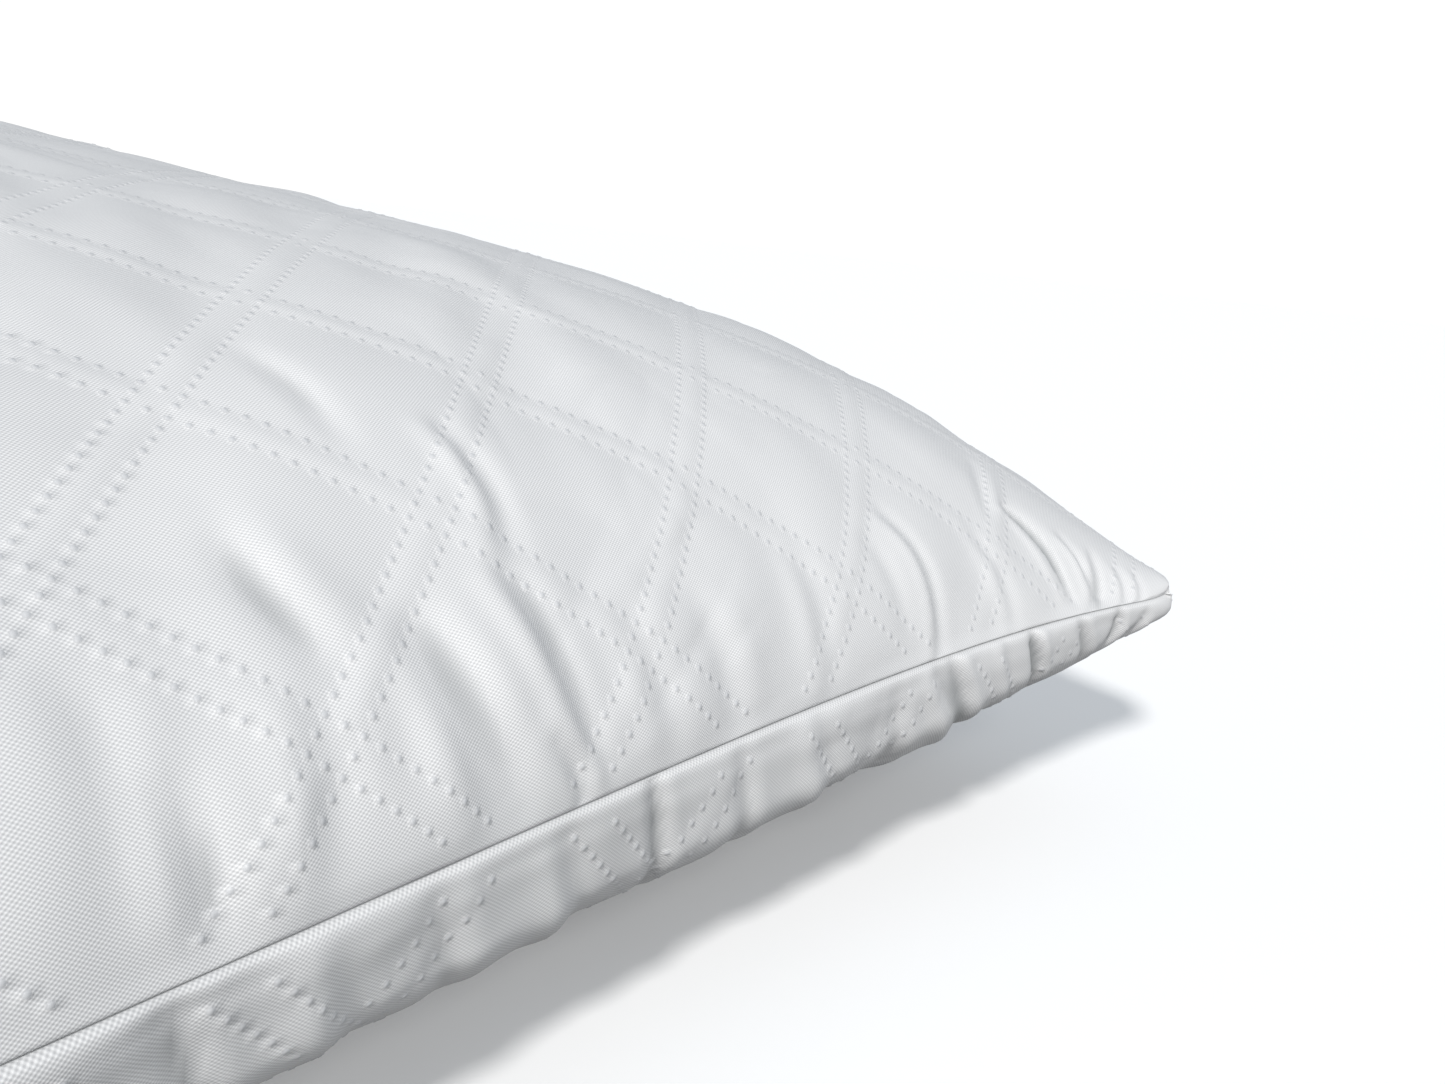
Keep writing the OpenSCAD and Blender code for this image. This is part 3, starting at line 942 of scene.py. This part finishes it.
def coil(name, line):
    """The looped overlock thread round the raw edges, as one coil."""
    spine, _, across = even_line(line, COIL_PITCH / COIL_TURN)
    angle = 2 * math.pi * np.arange(len(spine)) / COIL_TURN
    place = spine + COIL_RADIUS * (across * np.cos(angle)[:, None] + UP * np.sin(angle)[:, None])
    along = unit(np.gradient(place, axis=0))
    outward = place - spine
    outward = unit(outward - along * np.sum(outward * along, axis=1, keepdims=True))
    beside = np.cross(along, outward)
    turn = np.arange(COIL_SIDES) * 2 * math.pi / COIL_SIDES
    ring = outward[:, None] * np.cos(turn)[None, :, None] + beside[:, None] * np.sin(turn)[None, :, None]
    points = (place[:, None] + COIL_THREAD * ring).reshape(-1, 3)
    end = np.arange(COIL_SIDES)
    caps = np.stack([end, (end + len(points) - COIL_SIDES)[::-1]])
    return add_mesh(name, points, [tube_faces(len(spine), COIL_SIDES)[:, ::-1], caps])


# ---------------- care label
LABEL_WIDTH = 32.0
LABEL_LENGTH = 17.0
LABEL_CAUGHT = 8.0
LABEL_PLY = 0.12
LABEL_GAP = 0.16
LABEL_DROOP = 5.0
LABEL_CURL = 0.8
LABEL_PLACE = -0.35
LABEL_UNDER = 0.45


def label_piece(base):
    """A blank ribbon folded in half, caught in the left seam by its raw ends; its fold droops a little."""
    edge = base[0, int(np.argmin(np.abs(BASE_V - LABEL_PLACE * HALF_DEPTH)))]
    reach = np.linspace(0, 1, 15)
    run = LABEL_CAUGHT + LABEL_LENGTH
    gap = LABEL_GAP + 0.75 * np.sin(math.pi * reach ** 1.6) ** 2
    top = np.stack([reach * run, gap / 2], axis=-1)
    below = np.stack([reach * run, -gap / 2], axis=-1)[::-1]
    turn = np.linspace(math.pi / 2, -math.pi / 2, 7)[1:-1]
    fold_round = np.stack([run + 0.3 * np.cos(turn), LABEL_GAP / 2 * np.sin(turn)], axis=-1)
    middle = np.concatenate([top, fold_round, below])
    tangent = np.gradient(middle, axis=0)
    outward = unit(np.stack([-tangent[:, 1], tangent[:, 0]], axis=-1))
    faces_of_cloth = []
    for side in (1, -1):
        profile = middle + outward * side * LABEL_PLY / 2
        out = np.clip((profile[:, 0] - LABEL_CAUGHT) / LABEL_LENGTH, 0, 1.1)
        rows = []
        for y in np.linspace(-0.5, 0.5, 17) * LABEL_WIDTH:
            droop = LABEL_DROOP * out ** 1.6 * (1 + 0.25 * math.sin(y / 7))
            curl = LABEL_CURL * out * math.cos(y / LABEL_WIDTH * 5)
            x = edge[0] + LABEL_CAUGHT - profile[:, 0] + 0.06 * droop
            z = edge[2] - LABEL_UNDER + profile[:, 1] - droop + curl
            rows.append(np.stack([x, np.full(len(x), edge[1] + y), z], axis=-1))
        faces_of_cloth.append(np.array(rows))
    return joined_shell("blank_label", *faces_of_cloth)


# ---------------- material helpers
def connect(tree, value, socket):
    """Links a socket's value, or sets it."""
    if isinstance(value, bpy.types.NodeSocket):
        tree.links.new(value, socket)
    else:
        socket.default_value = value


def add_node(tree, kind, inputs=None, **settings):
    """A node with its settings, and with the values or links of its inputs."""
    node = tree.nodes.new(kind)
    for key, value in settings.items():
        setattr(node, key, value)
    for key, value in (inputs or {}).items():
        connect(tree, value, node.inputs[key])
    return node


def new_material(name, colour, roughness, **values):
    """A material, its node tree and its shader; values are the shader's sockets, with _ for a space."""
    material = bpy.data.materials.new(name)
    material.use_nodes = True
    shader = material.node_tree.nodes["Principled BSDF"]
    shader.inputs["Base Color"].default_value = (*colour, 1)
    shader.inputs["Roughness"].default_value = roughness
    for key, value in values.items():
        shader.inputs[key.replace("_", " ")].default_value = value
    return material, material.node_tree, shader


def maths(tree, operation, *values):
    return add_node(tree, "ShaderNodeMath", dict(enumerate(values)), operation=operation).outputs[0]


def mix_colour(tree, factor, first, second):
    values = [v if isinstance(v, bpy.types.NodeSocket) else (*v, 1) for v in (first, second)]
    inputs = {0: factor, 6: values[0], 7: values[1]}
    return add_node(tree, "ShaderNodeMix", inputs, data_type="RGBA").outputs[2]


def attribute(tree, name, output="Fac"):
    return add_node(tree, "ShaderNodeAttribute", attribute_name=name).outputs[output]


def object_place(tree):
    return add_node(tree, "ShaderNodeTexCoord").outputs["Object"]


def add_bump(tree, shader, height, strength, distance):
    bump = add_node(tree, "ShaderNodeBump", {"Strength": strength, "Distance": distance, "Height": height})
    tree.links.new(bump.outputs["Normal"], shader.inputs["Normal"])


def fibrous(tree, scale, stretch, detail, distortion):
    """Matted fibres: noise drawn out along one direction and bent by its own distortion."""
    mapping = add_node(tree, "ShaderNodeMapping", {"Scale": stretch, "Vector": object_place(tree)})
    inputs = {"Scale": scale, "Detail": detail, "Distortion": distortion, "Vector": mapping.outputs[0]}
    return add_node(tree, "ShaderNodeTexNoise", inputs).outputs["Fac"]


def patterned(made, pattern, dark, light, strength, distance):
    """Gives a new material the two colours and the bump, of some strength and distance, of one pattern."""
    material, tree, shader = made
    tree.links.new(mix_colour(tree, pattern, dark, light), shader.inputs["Base Color"])
    add_bump(tree, shader, pattern, strength, distance)
    return material


# ---------------- materials
WARP = 0.37 * MM
WEFT = 0.28 * MM
SLUB = (0.635, 0.635, 0.64), (0.71, 0.71, 0.71)
YARN = (0.38, 0.38, 0.39), (0.88, 0.88, 0.88)  # between the yarns, and on top of them
YARN_SHARE = 0.6
YARN_HEIGHT = 0.06 * MM
WELD = (0.58, 0.585, 0.597)
# colour of the painted shade in deep folds, along the seam line and on the hidden inner side
PAINTED_SHADE = (0.32, 0.33, 0.335)


def face_fabric_material():
    """White microfibre in plain weave with a satin sheen; the weld discs are smooth and a little grey. Deep
    folds and the seam line get painted shade.
    """
    sheen = {"Sheen_Weight": 0.12, "Sheen_Roughness": 0.35, "Specular_IOR_Level": 0.45}
    material, tree, shader = new_material("quilted_microfibre", (0.80, 0.80, 0.81), 0.5, **sheen)
    place = attribute(tree, "cloth", "Vector")
    weld = attribute(tree, "weld")
    split = add_node(tree, "ShaderNodeSeparateXYZ", {0: place})
    warp = maths(tree, "SINE", maths(tree, "MULTIPLY", split.outputs[0], math.pi / WARP))
    weft = maths(tree, "SINE", maths(tree, "MULTIPLY", split.outputs[1], math.pi / WEFT))
    crossing = maths(tree, "MULTIPLY_ADD", maths(tree, "MULTIPLY", warp, weft), 0.5, 0.5)
    weave = maths(tree, "MULTIPLY", crossing, maths(tree, "SUBTRACT", 1.0, weld))

    slub = add_node(tree, "ShaderNodeTexNoise", {"Scale": 45, "Detail": 3, "Vector": place})
    cloudy = mix_colour(tree, slub.outputs["Fac"], *SLUB)
    woven = mix_colour(tree, YARN_SHARE, cloudy, mix_colour(tree, weave, *YARN))
    welded = mix_colour(tree, weld, woven, WELD)
    # painted shade: the colour is mixed towards dark grey by the shade attribute
    shaded = mix_colour(tree, attribute(tree, "shade"), welded, PAINTED_SHADE)
    tree.links.new(shaded, shader.inputs["Base Color"])
    gloss = add_node(tree, "ShaderNodeMapRange", {"Value": weld, "To Min": 0.48, "To Max": 0.3})
    tree.links.new(gloss.outputs[0], shader.inputs["Roughness"])
    add_bump(tree, shader, weave, 0.8, YARN_HEIGHT)
    return material


def wadding_material():
    made = new_material("bonded_wadding", (0.9, 0.9, 0.9), 0.95, Sheen_Weight=0.3)
    fibres = fibrous(made[1], 260, (1.0, 0.35, 1.0), 6, 1.4)
    return patterned(made, fibres, (0.80, 0.80, 0.79), (0.95, 0.95, 0.95), 0.7, 0.9 * MM)


def lining_material():
    """Thin non-woven: a spread of short fibres with rows of small bonding points."""
    made = new_material("non_woven_backing", (0.84, 0.85, 0.86), 0.8)
    tree = made[1]
    fibres = fibrous(tree, 420, (1.0, 0.7, 1.0), 4, 2.0)
    inputs = {"Scale": 520, "Randomness": 0.25, "Vector": object_place(tree)}
    bonds = add_node(tree, "ShaderNodeTexVoronoi", inputs).outputs["Distance"]
    height = maths(tree, "MULTIPLY_ADD", bonds, 0.8, maths(tree, "MULTIPLY", fibres, 0.4))
    return patterned(made, height, (0.74, 0.75, 0.77), (0.90, 0.91, 0.92), 0.5, 0.15 * MM)


def fill_material():
    made = new_material("hollow_fibre", (0.93, 0.93, 0.92), 1.0, Sheen_Weight=0.4)
    fibres = fibrous(made[1], 140, (1.0, 0.5, 1.6), 8, 2.6)
    return patterned(made, fibres, (0.82, 0.82, 0.80), (0.97, 0.97, 0.96), 1.0, 2.0 * MM)


def thread_material():
    made = new_material("sewing_thread", (0.86, 0.87, 0.89), 0.55, Sheen_Weight=0.2)
    twist = fibrous(made[1], 1500, (1.0, 1.0, 0.4), 3, 0.5)
    return patterned(made, twist, (0.70, 0.71, 0.73), (0.92, 0.92, 0.93), 0.4, 0.1 * MM)


def label_material():
    """Blank satin ribbon: fine ribs across it and a soft gloss."""
    made = new_material("satin_ribbon", (0.90, 0.90, 0.89), 0.35, Sheen_Weight=0.1)
    inputs = {"Scale": 900, "Distortion": 0.4, "Vector": object_place(made[1])}
    ribs = add_node(made[1], "ShaderNodeTexWave", inputs, bands_direction="X").outputs["Fac"]
    return patterned(made, ribs, (0.82, 0.82, 0.81), (0.93, 0.93, 0.92), 0.3, 0.05 * MM)


# ---------------- camera, floor and light
LENS = 30.06
SENSOR = 36
CAMERA_PLACE = (0.0221, -0.3309, 0.1398)
CAMERA_TURN = 0.934
CAMERA_TILT = -0.245
CAMERA_ROLL = 0.113
FLOOR_HALF = 40.0
FLOOR_DROP = 0.0002
SKY_STRENGTH = 0.36
SKY_BELOW, SKY_ABOVE = (0.55, 0.55, 0.55), (0.85, 0.95, 1.07)
BACKDROP_STRENGTH = 1.05
SUNS = (
    # name, where it stands, strength, width in degrees, colour
    ("key", (-0.77, -0.23, 0.59), 2.5, 6.5, (1.0, 0.985, 0.965)),
    ("fill", (-0.33, -0.78, 0.53), 1.42, 30, (1.0, 0.99, 0.965)),
)


def make_camera():
    data = bpy.data.cameras.new("camera")
    data.lens = LENS
    data.sensor_width = SENSOR
    data.clip_start = 0.01
    camera = add_object("camera", data)
    forward = Vector((
        math.sin(CAMERA_TURN) * math.cos(CAMERA_TILT),
        math.cos(CAMERA_TURN) * math.cos(CAMERA_TILT),
        math.sin(CAMERA_TILT),
    ))
    right = Vector((math.cos(CAMERA_TURN), -math.sin(CAMERA_TURN), 0))
    up = right.cross(forward)
    rolled_right = math.cos(CAMERA_ROLL) * right + math.sin(CAMERA_ROLL) * up
    rolled_up = math.cos(CAMERA_ROLL) * up - math.sin(CAMERA_ROLL) * right
    turn = Matrix((rolled_right, rolled_up, -forward)).transposed()
    camera.matrix_world = Matrix.Translation(CAMERA_PLACE) @ turn.to_4x4()
    bpy.context.scene.camera = camera


def make_floor():
    """A plain floor that the camera sees, but that bounces no light onto the pillow."""
    data = bpy.data.meshes.new("floor")
    corners = [(x * FLOOR_HALF, y * FLOOR_HALF, -FLOOR_DROP) for x, y in ((-1, -1), (1, -1), (1, 1), (-1, 1))]
    data.from_pydata(corners, [], [(0, 1, 2, 3)])
    floor = add_object("floor", data)
    data.materials.append(new_material("pale_floor", (0.98, 0.98, 0.98), 0.9, Specular_IOR_Level=0.0)[0])
    floor.visible_diffuse = False
    floor.visible_glossy = False


def make_world():
    """A soft sky that is darker from below, and a plain white backdrop for what the camera sees of it."""
    world = bpy.data.worlds.new("studio")
    bpy.context.scene.world = world
    world.use_nodes = True
    tree = world.node_tree
    place = add_node(tree, "ShaderNodeTexCoord").outputs["Generated"]
    height = add_node(tree, "ShaderNodeSeparateXYZ", {0: place}).outputs[2]
    above = add_node(tree, "ShaderNodeMapRange", {"From Min": -0.5, "From Max": 0.3, "Value": height})
    sky = tree.nodes["Background"]
    sky.inputs["Strength"].default_value = SKY_STRENGTH
    tree.links.new(mix_colour(tree, above.outputs[0], SKY_BELOW, SKY_ABOVE), sky.inputs["Color"])
    inputs = {"Color": (1, 1, 1, 1), "Strength": BACKDROP_STRENGTH}
    white = add_node(tree, "ShaderNodeBackground", inputs)
    seen = add_node(tree, "ShaderNodeLightPath").outputs["Is Camera Ray"]
    choose = add_node(tree, "ShaderNodeMixShader", {0: seen, 1: sky.outputs[0], 2: white.outputs[0]})
    tree.links.new(choose.outputs[0], tree.nodes["World Output"].inputs["Surface"])


def make_lights():
    for name, place, strength, width, colour in SUNS:
        data = bpy.data.lights.new(name, "SUN")
        data.angle = math.radians(width)
        data.energy = strength
        data.color = colour
        lamp = add_object(name, data)
        lamp.location = place
        lamp.rotation_euler = (-Vector(place)).to_track_quat("-Z", "Y").to_euler()
    bpy.context.scene.view_settings.view_transform = "Standard"


# ---------------- assembly
def place_piece(piece, material, slot, *nodes):
    piece.data.materials.append(material)
    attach(piece, "root")
    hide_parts(*nodes)


make_camera()
make_floor()
make_world()
make_lights()
fabric = face_fabric_material()
upper_base, lower_base = base_surfaces()
gathered = simulated_gathers(upper_base, lower_base)
top = panel_piece("top_panel", upper_base, 1, gathered)
bottom = panel_piece("bottom_panel", lower_base, -1, gathered)
place_piece(top, fabric, "face_fabric", "top_face_fabric")
place_piece(bottom, fabric, "face_fabric", "bottom_face_fabric")

wadding_finish, lining_finish = wadding_material(), lining_material()
padded_pieces = [top, bottom]
for word, base, sign in (("top", upper_base, 1), ("bottom", lower_base, -1)):
    wadding = layer_piece(word + "_wadding", base, sign, WADDING)
    backing = layer_piece(word + "_backing", base, sign, LINING)
    place_piece(wadding, wadding_finish, "wadding", word + "_quilt_wadding")
    place_piece(backing, lining_finish, "lining", word + "_lining")
    padded_pieces += [wadding, backing]
filling = fill_piece(upper_base, lower_base)
place_piece(filling, fill_material(), "fill", "fibre_fill")
padded_pieces.append(filling)

thread = thread_material()
for side in ("front", "back", "left", "right"):
    line = seam_line(upper_base, side, STITCH_INSET)
    if side == "back":
        closed_last = line[np.abs(line[:, 0]) < CLOSING_HALF]
        closing = stitch_row("closing_stitches", closed_last, CLOSING_PITCH, CLOSING_LENGTH)
        place_piece(closing, thread, "thread", "closing_thread")
    row = stitch_row(side + "_stitches", line, STITCH_PITCH, STITCH_LENGTH)
    place_piece(row, thread, "thread", side + "_seam_thread")
    raw_edge = seam_line(upper_base, side, COIL_INSET)
    cut = int((1 - COIL_SHARE) / 2 * len(raw_edge))
    place_piece(coil(side + "_overlock_coil", raw_edge[cut:-cut]), thread, "thread", side + "_overlock")
place_piece(label_piece(upper_base), label_material(), "label", "care_label")
